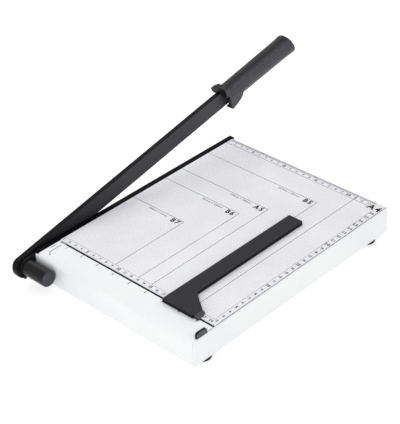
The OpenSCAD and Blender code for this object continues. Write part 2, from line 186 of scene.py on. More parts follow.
# Puts a finished piece in its place on a body. "also" gives other materials to the faces that pass a test.
def finishPiece(shape, name, where, material, body, nodes=(), also=(), crease=32):
    shape.name = shape.data.name = name
    shape.data.materials.clear()
    shape.data.materials.append(material)
    for number, (other, test) in enumerate(also, 1):
        shape.data.materials.append(other)
        for face in shape.data.polygons:
            if test(face.center, face.normal):
                face.material_index = number
    shape.data.transform(where)
    shape.data.shade_smooth()
    shape.data.set_sharp_from_angle(angle=math.radians(crease))
    even = shape.modifiers.new("even shading", "WEIGHTED_NORMAL")
    even.keep_sharp = True
    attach(shape, body)
    if nodes:
        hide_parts(*nodes)
    return shape


def paint(hexColour):  # sRGB hex to linear
    parts = [int(hexColour[i:i + 2], 16) / 255 for i in (1, 3, 5)]
    return [c / 12.92 if c <= 0.04045 else ((c + 0.055) / 1.055) ** 2.4 for c in parts] + [1.0]


def addNode(tree, kind, values, links=None):
    node = tree.nodes.new(kind)
    for key, value in values.items():
        if isinstance(key, int) or key in node.inputs:
            node.inputs[key].default_value = value
        else:
            setattr(node, key, value)
    for key, source in (links or {}).items():
        tree.links.new(source, node.inputs[key])
    return node


noiseSpan = {"From Min": 0.3, "From Max": 0.7}  # the values that a noise mostly takes
sideLightSpan = {"From Min": 0.2, "From Max": 0.7}  # how squarely a face looks right as "side" comes in
wearSoftness = 0.04  # how softly a worn spot ends


# A surface of two close tones, "dark" and "light", with a fine grain and slow clouds over it. Sizes are in
# millimetres. "fleck" is how much the grain darkens it, "bump" and "depth" are the relief of the grain, "stretch"
# draws the grain out along an axis, and "rough" is the roughness of the two tones. "far" is the tone that the colour
# turns to towards the back, over "run", a painted light and shade, and "side" the tone of what faces right, a painted
# light. "wear" is the tone of small worn spots. "coat" is clear coat, "gleam" the specular level and "glow" a light of
# its own.
def surface(name, look):
    material = bpy.data.materials.new(name)
    material.use_nodes = True
    tree = material.node_tree
    tree.nodes.clear()
    place = addNode(tree, "ShaderNodeTexCoord", {}).outputs["Object"]
    stretched = addNode(tree, "ShaderNodeMapping", {"Scale": look.get("stretch", (1, 1, 1))},
                        {"Vector": place}).outputs[0]
    grain = addNode(tree, "ShaderNodeTexNoise", {"Scale": 1000 / look["grain"], "Detail": 2.0, "Roughness": 0.6},
                    {"Vector": stretched}).outputs["Fac"]
    cloud = addNode(tree, "ShaderNodeTexNoise", {"Scale": 1000 / look["cloud"], "Detail": 3.0, "Roughness": 0.55},
                    {"Vector": place}).outputs["Fac"]
    tone = addNode(tree, "ShaderNodeMapRange", noiseSpan, {"Value": cloud}).outputs[0]
    speck = addNode(tree, "ShaderNodeMapRange", noiseSpan, {"Value": grain}).outputs[0]
    colour = addNode(tree, "ShaderNodeMix", {"data_type": "RGBA", 6: paint(look["dark"]), 7: paint(look["light"])},
                     {0: tone}).outputs[2]
    # Painted light and shade: the colour turns to the "far" tone towards the back
    if "far" in look:
        along = addNode(tree, "ShaderNodeSeparateXYZ", {}, {0: place}).outputs[1]
        share = addNode(tree, "ShaderNodeMapRange",
                        {"From Min": look["run"][0] / 1000, "From Max": look["run"][1] / 1000},
                        {"Value": along}).outputs[0]
        colour = addNode(tree, "ShaderNodeMix", {"data_type": "RGBA", 7: paint(look["far"])},
                         {0: share, 6: colour}).outputs[2]
    # Painted light: faces turned right take the lighter "side" tone
    if "side" in look:
        facing = addNode(tree, "ShaderNodeNewGeometry", {}).outputs["Normal"]
        rightward = addNode(tree, "ShaderNodeSeparateXYZ", {}, {0: facing}).outputs[0]
        share = addNode(tree, "ShaderNodeMapRange", sideLightSpan, {"Value": rightward}).outputs[0]
        colour = addNode(tree, "ShaderNodeMix", {"data_type": "RGBA", 7: paint(look["side"])},
                         {0: share, 6: colour}).outputs[2]
    grey = addNode(tree, "ShaderNodeCombineColor", {}, {0: speck, 1: speck, 2: speck}).outputs[0]
    colour = addNode(tree, "ShaderNodeMix", {"data_type": "RGBA", "blend_type": "MULTIPLY", 0: look["fleck"]},
                     {6: colour, 7: grey}).outputs[2]
    if "wear" in look:
        spots = addNode(tree, "ShaderNodeTexNoise", {"Scale": 1000 / look["wearSize"], "Detail": 5.0, "Roughness": 0.7},
                        {"Vector": place}).outputs["Fac"]
        worn = addNode(tree, "ShaderNodeMapRange",
                       {"From Min": look["wearFrom"], "From Max": look["wearFrom"] + wearSoftness},
                       {"Value": spots}).outputs[0]
        colour = addNode(tree, "ShaderNodeMix", {"data_type": "RGBA", 7: paint(look["wear"])},
                         {0: worn, 6: colour}).outputs[2]
    gloss = addNode(tree, "ShaderNodeMapRange", {"To Min": look["rough"][0], "To Max": look["rough"][1]},
                    {"Value": tone}).outputs[0]
    relief = addNode(tree, "ShaderNodeBump", {"Strength": look["bump"], "Distance": look.get("depth", 0.02) / 1000},
                     {"Height": grain}).outputs[0]
    shader = addNode(tree, "ShaderNodeBsdfPrincipled",
                     {"Metallic": look.get("metal", 0.0), "IOR": look.get("ior", 1.5),
                      "Specular IOR Level": look.get("gleam", 0.5), "Coat Weight": look.get("coat", 0.0),
                      "Emission Color": (1, 1, 1, 1), "Emission Strength": look.get("glow", 0.0)},
                     {"Base Color": colour, "Roughness": gloss, "Normal": relief})
    addNode(tree, "ShaderNodeOutputMaterial", {}, {"Surface": shader.outputs[0]})
    return material


# Powder coat sprayed on sheet steel: a soft satin white with a faint orange peel
powderCoatedSteel = surface("powder_coated_steel", {
    "dark": "#E0E1E3", "light": "#E7E8E8", "fleck": 0.03, "grain": 1.2, "cloud": 90, "rough": (0.34, 0.42),
    "bump": 0.25, "depth": 0.03, "coat": 0.05, "ior": 1.4})
# PVC film, matt calendered: a pale blue-grey with a fine mottled print under it, drawn coarse enough to show
calenderedFilm = surface("calendered_pvc_film", {
    "dark": "#DEDEE3", "light": "#E6E6EB", "fleck": 0.14, "grain": 2.0, "cloud": 45, "rough": (0.45, 0.55),
    "bump": 0.2, "depth": 0.02, "ior": 1.4})
# Screen ink: a dense matt charcoal, a little broken where the squeegee left less
screenInk = surface("screen_printed_ink", {
    "dark": "#0C0C0E", "light": "#18181B", "fleck": 0.3, "grain": 0.5, "cloud": 12, "rough": (0.5, 0.62),
    "bump": 0.1, "ior": 1.3})
# The same ink where lines are so fine that it is laid thinner and looks grey
thinInk = surface("thin_screen_printed_ink", {
    "dark": "#4A4A50", "light": "#5C5C63", "fleck": 0.25, "grain": 0.5, "cloud": 10, "rough": (0.5, 0.62),
    "bump": 0.1, "ior": 1.3})
# Stoved enamel on rolled steel strip: satin black with faint lengthwise rolling marks
stovedRail = surface("stove_enamelled_steel", {
    "dark": "#131315", "light": "#1A1A1D", "fleck": 0.2, "grain": 1.0, "cloud": 40, "rough": (0.34, 0.46),
    "bump": 0.3, "depth": 0.02, "stretch": (1, 0.08, 1), "ior": 1.3})
# Blackened tool steel: near black, oily sheen, fine marks along the strip
blackenedSteel = surface("blackened_tool_steel", {
    "dark": "#08080A", "light": "#101012", "fleck": 0.25, "grain": 0.8, "cloud": 30, "rough": (0.3, 0.44),
    "bump": 0.3, "depth": 0.015, "stretch": (1, 0.05, 1), "ior": 1.3, "gleam": 0.05})
# Surface ground tool steel: bright, with close grinding lines across the edge
groundSteel = surface("surface_ground_steel", {
    "dark": "#9A9A9C", "light": "#B8B8B8", "fleck": 0.35, "grain": 0.35, "cloud": 20, "rough": (0.22, 0.34),
    "bump": 0.5, "depth": 0.01, "stretch": (1, 1, 0.06), "metal": 1.0})
# Charcoal enamel on the pressed arm: satin, almost black by the pivot, with a painted light that makes it lighter along
# the arm towards the handle, and small worn spots
enamelledArm = surface("enamelled_pressed_steel", {
    "dark": "#0C0C0D", "light": "#131314", "far": "#404043", "run": (-215, -60), "fleck": 0.14, "grain": 1.1,
    "cloud": 110, "rough": (0.38, 0.5), "bump": 0.3, "depth": 0.02, "stretch": (1, 0.25, 1),
    "wear": "#3A3A3D", "wearSize": 9, "wearFrom": 0.72, "ior": 1.25})
# The same enamel without the painted light, for the turned rim and the faces that look up: a painted shade that keeps
# them full black
shadedRimEnamel = surface("enamel_with_painted_shade", {
    "dark": "#09090A", "light": "#111112", "fleck": 0.2, "grain": 1.1, "cloud": 60, "rough": (0.36, 0.48),
    "bump": 0.3, "depth": 0.02, "stretch": (1, 0.25, 1), "ior": 1.3, "gleam": 0.15})
# Zinc plate on turned and headed steel: silvery grey with a slight yellow-blue cloud
zincPlate = surface("zinc_plated_steel", {
    "dark": "#A2A4A6", "light": "#C6C5BF", "fleck": 0.2, "grain": 0.6, "cloud": 5, "rough": (0.24, 0.4),
    "bump": 0.3, "depth": 0.01, "metal": 1.0})
# Drawn spring wire: grey, smooth, with lines along the draw
drawnWire = surface("drawn_spring_steel", {
    "dark": "#77777A", "light": "#98989A", "fleck": 0.3, "grain": 0.5, "cloud": 6, "rough": (0.25, 0.4),
    "bump": 0.3, "depth": 0.01, "metal": 1.0})
# Turned brass: warm yellow with close tool rings
turnedBrass = surface("turned_brass", {
    "dark": "#A98240", "light": "#C9A35C", "fleck": 0.2, "grain": 0.4, "cloud": 4, "rough": (0.22, 0.36),
    "bump": 0.3, "depth": 0.01, "metal": 1.0})
# Moulded rubber: dull black with a fine bloom
mouldedRubber = surface("moulded_rubber", {
    "dark": "#121212", "light": "#1C1C1C", "fleck": 0.3, "grain": 0.7, "cloud": 8, "rough": (0.6, 0.78),
    "bump": 0.4, "depth": 0.03, "ior": 1.3})
# ABS moulded in a polished tool: near black, with a greyer "side" tone painted on faces turned right, a painted light
# and reflection
polishedAbs = surface("polished_moulded_abs", {
    "dark": "#0B0B0D", "light": "#121214", "side": "#414146", "fleck": 0.12, "grain": 0.9, "cloud": 25,
    "rough": (0.26, 0.36), "bump": 0.12, "depth": 0.01, "ior": 1.4, "gleam": 0.25})
# Polypropylene moulded in a spark-eroded tool: near black above, painted greyer on the side turned right as a painted
# light, with fine lengthwise flow marks
erodedPolypropylene = surface("spark_textured_polypropylene", {
    "dark": "#131315", "light": "#1B1B1E", "side": "#4B4B50", "fleck": 0.35, "grain": 1.6, "cloud": 30,
    "rough": (0.36, 0.48), "bump": 0.45, "depth": 0.04, "stretch": (1, 0.14, 1), "ior": 1.28})
# The cap's own moulding, in the same plastic and a trace darker, with the same painted light on the side turned right
endCapPlastic = surface("moulded_polypropylene_cap", {
    "dark": "#131315", "light": "#1A1A1D", "side": "#48484D", "fleck": 0.35, "grain": 1.6, "cloud": 22,
    "rough": (0.34, 0.46), "bump": 0.4, "depth": 0.04, "stretch": (1, 0.14, 1), "ior": 1.28})
# ABS moulded in a matt tool: dark charcoal with an even, very fine grain
mattAbs = surface("matt_moulded_abs", {
    "dark": "#1E1D22", "light": "#26252A", "fleck": 0.22, "grain": 0.9, "cloud": 38, "rough": (0.42, 0.54),
    "bump": 0.35, "depth": 0.03, "ior": 1.25})
# ABS moulded in a finer tool: black and a little smoother. It is the end stop's own black, and on the gauge's sides a
# painted shade
blackAbsAndSideShade = surface("smooth_moulded_abs", {
    "dark": "#08080A", "light": "#0F0F11", "fleck": 0.2, "grain": 0.8, "cloud": 20, "rough": (0.35, 0.46),
    "bump": 0.25, "depth": 0.02, "ior": 1.3, "gleam": 0.2})
# A greyer, duller ABS tone: a painted light on faces turned right and on the thumb tab
paintedLightAbs = surface("abs_with_painted_light", {
    "dark": "#505054", "light": "#5F5F63", "fleck": 0.3, "grain": 0.9, "cloud": 12, "rough": (0.5, 0.62),
    "bump": 0.35, "depth": 0.03, "ior": 1.3})
print("materials made")


# The base is a tray pressed from one sheet of steel and turned over, with flanges folded in along its foot
base = {"left": 3.0, "step": 7.5, "right": 251.5, "back": 302.5, "bottom": -33.0, "top": -0.3, "steel": 1.0,
        "frontBend": 7.0, "edgeBend": 1.5, "corner": 2.2, "sideFlange": 24.0, "endFlange": 10.0, "mouthCorner": 5.0,
        "knife": 3.0}
# The slot that the gauge runs in, the seam where the sheet's ends meet at the corner, and the printed film
slot = {"left": 10.5, "right": 249.5, "front": 9.3, "back": 12.3, "corner": 1.4, "depth": 1.9}
seam = {"x0": 249.35, "x1": 249.65, "front": -24.5, "back": -0.6, "bottom": -31.0, "top": 2.0, "depth": 0.35}
sheet = {"left": 8.0, "right": 249.8, "front": 12.6, "back": 300.8, "corner": 1.2}
past = 5.0  # mm that a tool goes past what it cuts


# The solid of the pressed base, moved in by an inset on every side
def baseSolid(inset):
    left, step, right = base["left"] + inset, base["step"] + inset, base["right"] - inset
    front, rear, top, bottom = frontWall + inset, base["back"] - inset, base["top"] - inset, base["bottom"] + inset
    ledge, edge = -base["knife"] - inset, base["edgeBend"] - inset
    across = arc((left + edge, bottom + edge), edge, 270, 180, 5) + [(left, ledge), (step, ledge)]
    across += arc((step + edge, top - edge), edge, 180, 90, 5) + arc((right - edge, top - edge), edge, 90, 0, 6)
    across += arc((right - edge, bottom + edge), edge, 0, -90, 5)
    bend = base["frontBend"] - inset
    along = arc((front + edge, bottom + edge), edge, 270, 180, 5) + arc((front + bend, top - bend), bend, 180, 90, 16)
    along += arc((rear - edge, top - edge), edge, 90, 0, 6) + arc((rear - edge, bottom + edge), edge, 0, -90, 5)
    plan = roundedBox(left, front, right, rear, (base["corner"] - inset,) * 4, 5)
    return combine(prism("y", across, front - past, rear + past),
                   [prism("x", along, left - past, right + past), prism("z", plan, bottom - past, top + past)],
                   "INTERSECT")


shell = baseSolid(0)
mouth = roundedBox(base["left"] + base["sideFlange"], frontWall + base["endFlange"], base["right"] - base["sideFlange"],
                   base["back"] - base["endFlange"], (base["mouthCorner"],) * 4)
slotPlan = roundedBox(slot["left"], slot["front"], slot["right"], slot["back"], (slot["corner"],) * 4)
seamPlan = roundedBox(seam["front"], seam["bottom"], seam["back"], seam["top"], (0,) * 4)
seamShape = prism("x", seamPlan, seam["x0"], seam["x1"])
cut(shell, baseSolid(base["steel"]), prism("z", mouth, base["bottom"] - 3, base["bottom"] + 3),
    prism("z", slotPlan, base["top"] - slot["depth"], past), cut(seamShape, baseSolid(seam["depth"])))
soften(shell, 0.18, 2, 40)
finishPiece(shell, "base_pressing", onTable, powderCoatedSteel, "base", ["base_shell"])

filmPlan = roundedBox(sheet["left"], sheet["front"], sheet["right"], sheet["back"], (sheet["corner"],) * 4)
film = soften(prism("z", filmPlan, base["top"], 0), 0.06, 1)
finishPiece(film, "scale_film", onTable, calenderedFilm, "base", ["scale_sheet"])
print("base made")


inkHeight = 0.03  # mm that the print stands above the face that carries it
boxFaces = [(0, 1, 2, 3), (7, 6, 5, 4), (0, 4, 5, 1), (1, 5, 6, 2), (2, 6, 7, 3), (3, 7, 4, 0)]


class Ink:  # gathers many small solids into one piece
    def __init__(self):
        self.points, self.faces = [], []

    def add(self, points, faces):
        start = len(self.points)
        self.points += points
        self.faces += [[start + i for i in face] for face in faces]

    # A straight stroke between two points
    def stroke(self, x0, y0, x1, y1, width, face=0.0):
        way = Vector((x1 - x0, y1 - y0)).normalized() * width / 2
        side = Vector((-way.y, way.x))
        corners = [(x0 + side.x, y0 + side.y), (x1 + side.x, y1 + side.y),
                   (x1 - side.x, y1 - side.y), (x0 - side.x, y0 - side.y)]
        self.add([(x, y, face) for x, y in corners] + [(x, y, face + inkHeight) for x, y in corners], boxFaces)

    # Words centred on a point
    def write(self, words, x, y, height, bold=False, face=0.0):
        across = -sum(glyphs[c, bold]["width"] for c in words) / 2
        for c in words:
            glyph = glyphs[c, bold]
            self.add([(x + (u + across) * height, y + (v - 0.5) * height, face + (inkHeight if w > 0 else 0))
                      for u, v, w in glyph["points"]], glyph["faces"])
            across += glyph["width"]

    def solid(self, name):
        data = bpy.data.meshes.new(name)
        data.from_pydata(self.points, [], self.faces)
        mesh = bmesh.new()
        mesh.from_mesh(data)
        return asObject(mesh, name)

    def finish(self, name, material):
        shape = self.solid(name)
        shape.data.materials.append(material)
        shape.data.transform(onTable)
        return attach(shape, "base")


letter = {"capital": 0.7, "gap": 0.12, "boldGap": 0.16, "fatten": 0.014, "boldFatten": 0.038, "space": 0.3}


# One mesh for each character, as tall as a capital of height 1
def makeGlyphs(characters):
    made, texts = {}, []
    for bold in (False, True):
        for c in characters:
            curve = bpy.data.curves.new("glyph", "FONT")
            curve.body, curve.extrude, curve.resolution_u = c, 0.01, 2
            curve.offset = letter["boldFatten" if bold else "fatten"]
            text = bpy.data.objects.new("glyph", curve)
            bpy.context.scene.collection.objects.link(text)
            texts.append((c, bold, text))
    bpy.context.view_layer.update()
    graph = bpy.context.evaluated_depsgraph_get()
    for c, bold, text in texts:
        mesh = bmesh.new()
        mesh.from_mesh(bpy.data.meshes.new_from_object(text.evaluated_get(graph)))
        bmesh.ops.remove_doubles(mesh, verts=mesh.verts, dist=1e-4)
        mesh.verts.index_update()
        points = [(v.co.x / letter["capital"], v.co.y / letter["capital"], v.co.z) for v in mesh.verts]
        faces = [[v.index for v in f.verts] for f in mesh.faces]
        mesh.free()
        width = max((p[0] for p in points), default=letter["space"]) + letter["boldGap" if bold else "gap"]
        made[c, bold] = {"points": points, "faces": faces, "width": width}
        bpy.data.objects.remove(text)
    return made


glyphs = makeGlyphs("0123456789AB ×m")

# Where the lines and rows of numbers are, how tall the numbers and how wide the strokes
printed = {"left": 8.2, "frontLine": 19.9, "backLine": 290.0, "backLineEnd": 232.0, "rightLine": 241.3,
           "rightLineEnd": 284.0, "wideLine": 210.3, "wideLineEnd": 298.6, "edgeLine": 249.45, "edgeLineStart": 12.9,
           "backEdge": 300.2, "columnX": 244.9, "rowFrontY": 16.2, "rowBackY": 293.7, "digit": 2.9, "boldDigit": 3.7,
           "fine": 0.32, "medium": 0.45, "line": 0.55, "backTick": (4.8, 4.2, 3.6), "edgeTick": (1.6, 1.2, 0.8)}
papers = [("B7", 91, 128, 82.6), ("B6", 128, 182, 118.7), ("A5", 148, 210, 138.2), ("B5", 182, 257, 172.6)]
paperName = {"height": 6.9, "below": 4.8, "note": 3.0, "noteLeft": 30.0, "noteBelow": 3.6}
# On the painted strip in front of the slot: inches, and the line where the corner of a card goes
strip = {"inch": 25.4, "digit": 2.8, "digitY": 5.9, "tickTop": 9.1, "tick": 7.9, "halfTick": 8.3,
         "cardX": 16.3, "cardBack": 6.0, "cardBend": -7.5, "cardRadius": 8.0, "cardStroke": 0.85}


def tickLength(mark, lengths):  # each tenth mark is long and each fifth is middling
    return lengths[0] if mark % 10 == 0 else lengths[1] if mark % 5 == 0 else lengths[2]


lines, numbers, labels, faint = Ink(), Ink(), Ink(), Ink()
for paper, width, length, nameX in papers:
    lines.stroke(printed["left"], length, width + 0.19, length, printed["line"])
    lines.stroke(width, length, width, printed["frontLine"], printed["line"])
    labels.write(paper, nameX, length - paperName["below"], paperName["height"], bold=True)
    faint.write(f"{length}mm × {width}mm", nameX - paperName["noteLeft"], length - paperName["noteBelow"],
                paperName["note"])
labels.write("A4", 240.8, 290.8, 8.8, bold=True)
lines.stroke(printed["wideLine"], printed["frontLine"], printed["wideLine"], printed["wideLineEnd"], printed["line"])
lines.stroke(printed["left"], printed["backLine"], printed["backLineEnd"], printed["backLine"], printed["medium"])
lines.stroke(printed["rightLine"], printed["frontLine"], printed["rightLine"], printed["rightLineEnd"], printed["fine"])
faint.stroke(printed["left"], printed["frontLine"], printed["rightLine"], printed["frontLine"], printed["fine"])
lines.stroke(printed["edgeLine"], printed["edgeLineStart"], printed["edgeLine"], printed["backEdge"], printed["line"])
for mark in range(10, 237):
    faint.stroke(mark, printed["backEdge"], mark, printed["backEdge"] - tickLength(mark, printed["backTick"]), 0.4)
for mark in range(20, 286):
    tickRight = printed["edgeLine"] - 0.3
    faint.stroke(tickRight, mark, tickRight - tickLength(mark, printed["edgeTick"]), mark, 0.22)
for mark in range(1, 29):
    size = printed["digit" if mark % 5 else "boldDigit"]
    if mark < 25:
        numbers.write(str(mark), mark * 10, printed["rowFrontY"], size + 0.2, bold=True)
    if mark < 24:
        numbers.write(str(mark), mark * 10, printed["rowBackY"], size, bold=mark % 5 == 0)
    if mark > 1:
        numbers.write(str(mark), printed["columnX"], mark * 10, size + 0.3, bold=True)
for inch in range(1, 10):
    x = inch * strip["inch"]
    numbers.write(str(inch), x, strip["digitY"], strip["digit"], bold=True, face=base["top"])
    lines.stroke(x, strip["tick"], x, strip["tickTop"], 0.6, base["top"])
    x -= strip["inch"] / 2
    lines.stroke(x, strip["halfTick"], x, strip["tickTop"], 0.35, base["top"])
lines.stroke(printed["edgeLine"], seam["back"], printed["edgeLine"], strip["tickTop"], printed["line"], base["top"])
card = [(strip["cardX"], strip["cardBack"])] + arc((strip["cardX"] + strip["cardRadius"], strip["cardBend"]),
                                                   strip["cardRadius"], 180, 255, 8)
for first, second in zip(card, card[1:]):
    lines.stroke(*first, *second, strip["cardStroke"], base["top"])
lines.stroke(11.2, -6.0, 11.2, 3.5, 0.6, base["top"])
lines.finish("printed_lines", screenInk)
numbers.finish("printed_numbers", screenInk)
labels.finish("printed_labels", screenInk)
faint.finish("printed_fine_marks", thinInk)
print("print made")


# A screw along z with its head's face at z = 0 and its shank below, cross recessed
def crossScrew(kind):
    headR, headHigh, shankR, length = kind["head"], kind["headHigh"], kind["shank"], kind["length"]
    if kind["sunk"]:
        profile = [(0, 0), (0, headR - 0.2), (-0.25, headR), (-headHigh, shankR)]
    else:
        dome = [math.radians(a) for a in range(15, 91, 15)]
        profile = [(0, 0)] + [(headHigh * (math.cos(a) - 1) * 0.45, headR * math.sin(a)) for a in dome]
        profile += [(-headHigh, headR), (-headHigh, shankR)]
    z = -headHigh - 0.4
    while z > -length + 0.8:  # thread
        profile += [(z, shankR), (z - 0.3, shankR - 0.25)]
        z -= 0.6
    profile += [(-length, shankR - 0.4), (-length, 0)]
    reach, half = headR * 0.55, headR * 0.1
    bars = [prism("z", roundedBox(-u, -v, u, v, (0,) * 4), -headHigh * 0.7, 1)
            for u, v in ((reach, half), (half, reach))]
    return cut(turned("z", profile, steps=32), *bars)


# Copies of one screw, joined into one piece
def screwSet(name, kind, spots, facing, where, material, body, nodes):
    screw = crossScrew(kind)
    mesh = bmesh.new()
    for spot in spots:
        mesh.from_mesh(screw.data)
        fresh = mesh.verts[-len(screw.data.vertices):]
        bmesh.ops.transform(mesh, matrix=Matrix.Translation(spot) @ facing, verts=fresh)
    bpy.data.objects.remove(screw)
    return finishPiece(asObject(mesh), name, where, material, body, nodes)


screws = {"rail": {"head": 4.0, "headHigh": 2.0, "shank": 2.0, "length": 9.2, "sunk": True,
                   "x": 0.55, "y": (12, 104, 196, 288), "z": -20},
          "foot": {"head": 3.4, "headHigh": 1.8, "shank": 1.75, "length": 9.0, "sunk": False,
                   "x": (14, 238.5), "y": (2, 279), "z": -39.4},
          "grip": {"head": 3.8, "headHigh": 2.0, "shank": 2.0, "length": 19.0, "sunk": False,
                   "x": -14.3, "y": (362, 408), "z": 2}}
faceLeft = Matrix.Rotation(math.radians(-90), 4, "Y")
faceDown = Matrix.Rotation(math.radians(180), 4, "X")
railSpots = [(screws["rail"]["x"], y, screws["rail"]["z"]) for y in screws["rail"]["y"]]
footSpots = [(x, y, screws["foot"]["z"]) for x in screws["foot"]["x"] for y in screws["foot"]["y"]]
gripSpots = [(screws["grip"]["x"], y, screws["grip"]["z"]) for y in screws["grip"]["y"]]
screwSet("rail_countersunk_screws", screws["rail"], railSpots, faceLeft, onTable, stovedRail, "base",
         ["rail_screws"])
screwSet("foot_pan_screws", screws["foot"], footSpots, faceDown, onTable, zincPlate, "base",
         ["foot_screws"])
screwSet("grip_pan_screws", screws["grip"], gripSpots, faceLeft, onArm, zincPlate, "arm",
         ["handle_screws"])
print("screws made")


# The side rail carries the pivot in its round lug. The blade passes along the left edge of the bed knife.
rail = {"x0": 0.5, "x1": 3.0, "top": -3.0, "bottom": -33.0, "back": 305.0, "front": -8.5, "pivotY": -32.6,
        "pivotZ": -14.6, "lug": 11.0, "hole": 2.05, "sink": 4.15, "boltHole": 4.05}
knife = {"width": 7.5, "thick": 3.0, "back": 305.0, "front": -20.5, "bendFrom": 135.6}
pivot = (rail["pivotY"], rail["pivotZ"])
railOutline = [(rail["back"], rail["top"]), (rail["back"], rail["bottom"]), (rail["front"], rail["bottom"])]
railOutline += arc(pivot, rail["lug"], -70, -262, 40) + [(frontWall + 2, rail["top"])]
railShape = prism("x", railOutline, rail["x0"], rail["x1"])
holes = [rod("x", 0, 4, rail["hole"], (y, z), 24) for x, y, z in railSpots]
sinkProfile = [(0.4, 0), (0.4, rail["sink"]), (2.5, rail["hole"]), (2.5, 0)]
sinks = [turned("x", sinkProfile, (y, z), 32) for x, y, z in railSpots]
cut(railShape, *holes, *sinks, rod("x", 0, 4, rail["boltHole"], pivot, 40))
soften(railShape, 0.3, 2)
finishPiece(railShape, "pivot_side_rail", onTable, stovedRail, "base", ["side_rail"])

knifeOutline = [(knife["back"], 0), (knife["back"], -knife["thick"]), (knife["front"], -knife["thick"])]
knifeOutline += arc((frontWall + base["frontBend"], -base["frontBend"]), base["frontBend"], knife["bendFrom"], 90, 10)
knifeShape = soften(prism("x", knifeOutline, 0, knife["width"]), 0.15, 2, 40)
finishPiece(knifeShape, "bed_knife_strip", onTable, blackenedSteel, "base", ["bed_knife"],
            [(groundSteel, lambda c, n: n.x < -0.5)])
print("cutting edge made")


# The end stop stands at the front right corner, and its foot follows the bend of the base
stop = {"x0": 247.6, "x1": 250.4, "y0": -16.2, "y1": -0.8, "top": 6.7, "foot": -1.6, "round": 3.0}
bendZ, bendR = stop["top"] - stop["round"], stop["round"]
stopOutline = [(stop["y0"], stop["foot"])] + arc((stop["y0"] + bendR, bendZ), bendR, 180, 90, 8)
stopOutline += arc((stop["y1"] - bendR, bendZ), bendR, 90, 0, 8) + [(stop["y1"], stop["foot"])]
stopShape = cut(prism("x", stopOutline, stop["x0"], stop["x1"]), baseSolid(0))
soften(stopShape, 0.4, 3)
# The face turned right takes a lighter grey, a painted light
finishPiece(stopShape, "corner_end_stop", onTable, blackAbsAndSideShade, "base", ["end_stop"],
            [(paintedLightAbs, lambda c, n: n.x > 0.9)])


# Four rubber feet, each with a hollow for its screw's head
foot = {"r": 10.5, "h": 7.0, "bottom": -40.0}
z, r = foot["bottom"], foot["r"]
footProfile = [(z + 2.2, 1.9), (z + 2.2, 4.6), (z + 0.3, 4.9), (z, 5.2), (z, r - 1.6), (z + 0.25, r - 0.9),
               (z + 0.9, r - 0.4), (z + 5.6, r), (z + 6.3, r - 0.1), (z + 6.8, r - 0.5), (z + foot["h"], r - 0.9),
               (z + foot["h"], 1.9)]
for y, end in zip(screws["foot"]["y"], ("front", "back")):
    for x, side in zip(screws["foot"]["x"], ("left", "right")):
        finishPiece(turned("z", footProfile, (x, y), 48), f"rubber_foot_{end}_{side}", onTable, mouldedRubber, "base",
                    [f"foot_{end}_{side}"])
print("feet made")


# The cover over the pivot spring, closed at its right end. It hangs a little loose on the nut.
cover = {"x0": 3.2, "x1": 38.2, "r": 10.0, "wall": 1.3, "sag": (-0.6, -1.0)}
end, r, bore = cover["x1"], cover["r"], cover["r"] - cover["wall"]
coverProfile = [(cover["x0"], bore), (cover["x0"], r - 0.3), (cover["x0"] + 0.3, r), (end - 1.6, r),
                (end - 0.9, r - 0.12), (end - 0.4, r - 0.45), (end - 0.1, r - 0.95), (end, r - 1.6), (end, r - 2.1),
                (end - 0.25, r - 2.3), (end - 0.25, 0), (end - 1.6, 0), (end - 1.6, bore)]
# The end, which faces right, takes the plastic's lighter side tone, a painted light
finishPiece(turned("x", coverProfile, cover["sag"], 96), "pivot_spring_cover", atPivot, polishedAbs, "base",
            ["spring_cover"])

# The bolt that the arm turns on
bolt = {"head0": -7.7, "head1": -4.1, "flats": 12.0, "crown": 7.0, "shank": 4.0, "end": 33.9, "thread": 12.0,
        "pitch": 1.0, "threadDeep": 0.45}
hexagon = arc((0, 0), bolt["flats"] / 2 / math.cos(math.pi / 6), 0, 300, 5)
boltShape = prism("x", hexagon, bolt["head0"], bolt["head1"])
crown = [(bolt["head0"], 0), (bolt["head0"], 5.4), (bolt["head0"] + 1.0, bolt["crown"]),
         (bolt["head1"] - 0.2, bolt["crown"]), (bolt["head1"], 6.4), (bolt["head1"], 0)]
combine(boltShape, [turned("x", crown, steps=48)], "INTERSECT")
x = bolt["end"] - bolt["thread"]
shank = [(bolt["head1"] - 0.5, 0), (bolt["head1"] - 0.5, bolt["shank"]), (x, bolt["shank"])]
while x < bolt["end"] - bolt["pitch"]:
    shank += [(x + bolt["pitch"] / 2, bolt["shank"] - bolt["threadDeep"]), (x + bolt["pitch"], bolt["shank"])]
    x += bolt["pitch"]
shank += [(bolt["end"], bolt["shank"] - 0.7), (bolt["end"], 0)]
combine(boltShape, [turned("x", shank, steps=40)])
finishPiece(boltShape, "hinge_bolt", atPivot, zincPlate, "base", ["pivot_bolt"])
print("pivot made")


# The arm is a plate with a rim turned to the left along its top and round its pivot end. Its tang is inside the grip.
arm = {"face": -0.3, "plate": 2.5, "rimLeft": -6.8, "rim": 2.2, "rimFrom": -104, "spine": 12.7, "edge": -8.5,
       "lobe": 16.0, "corner": 8.0, "plateEnd": 343.0, "rimEnd": 337.5, "tangEnd": 422.0, "tangLow": -4.0,
       "tangHigh": 8.0, "bevel": 4.5, "bevelFrom": 25.0, "bush": 6.02, "pin": 2.2, "pinReach": 13.9, "pinAngle": -128}


def armOutline(inset, endAt):
    cornerZ = arm["spine"] - arm["corner"]
    cornerY = -math.sqrt((arm["lobe"] - arm["corner"]) ** 2 - cornerZ ** 2)
    meet = math.degrees(math.atan2(cornerZ, cornerY))
    low = math.degrees(math.asin(arm["edge"] / arm["lobe"]))
    return ([(endAt, arm["edge"])] + arc((0, 0), arm["lobe"] - inset, low, meet - 360, 56)
            + arc((cornerY, cornerZ), arm["corner"] - inset, meet, 90, 14)[1:] + [(endAt, arm["spine"] - inset)])


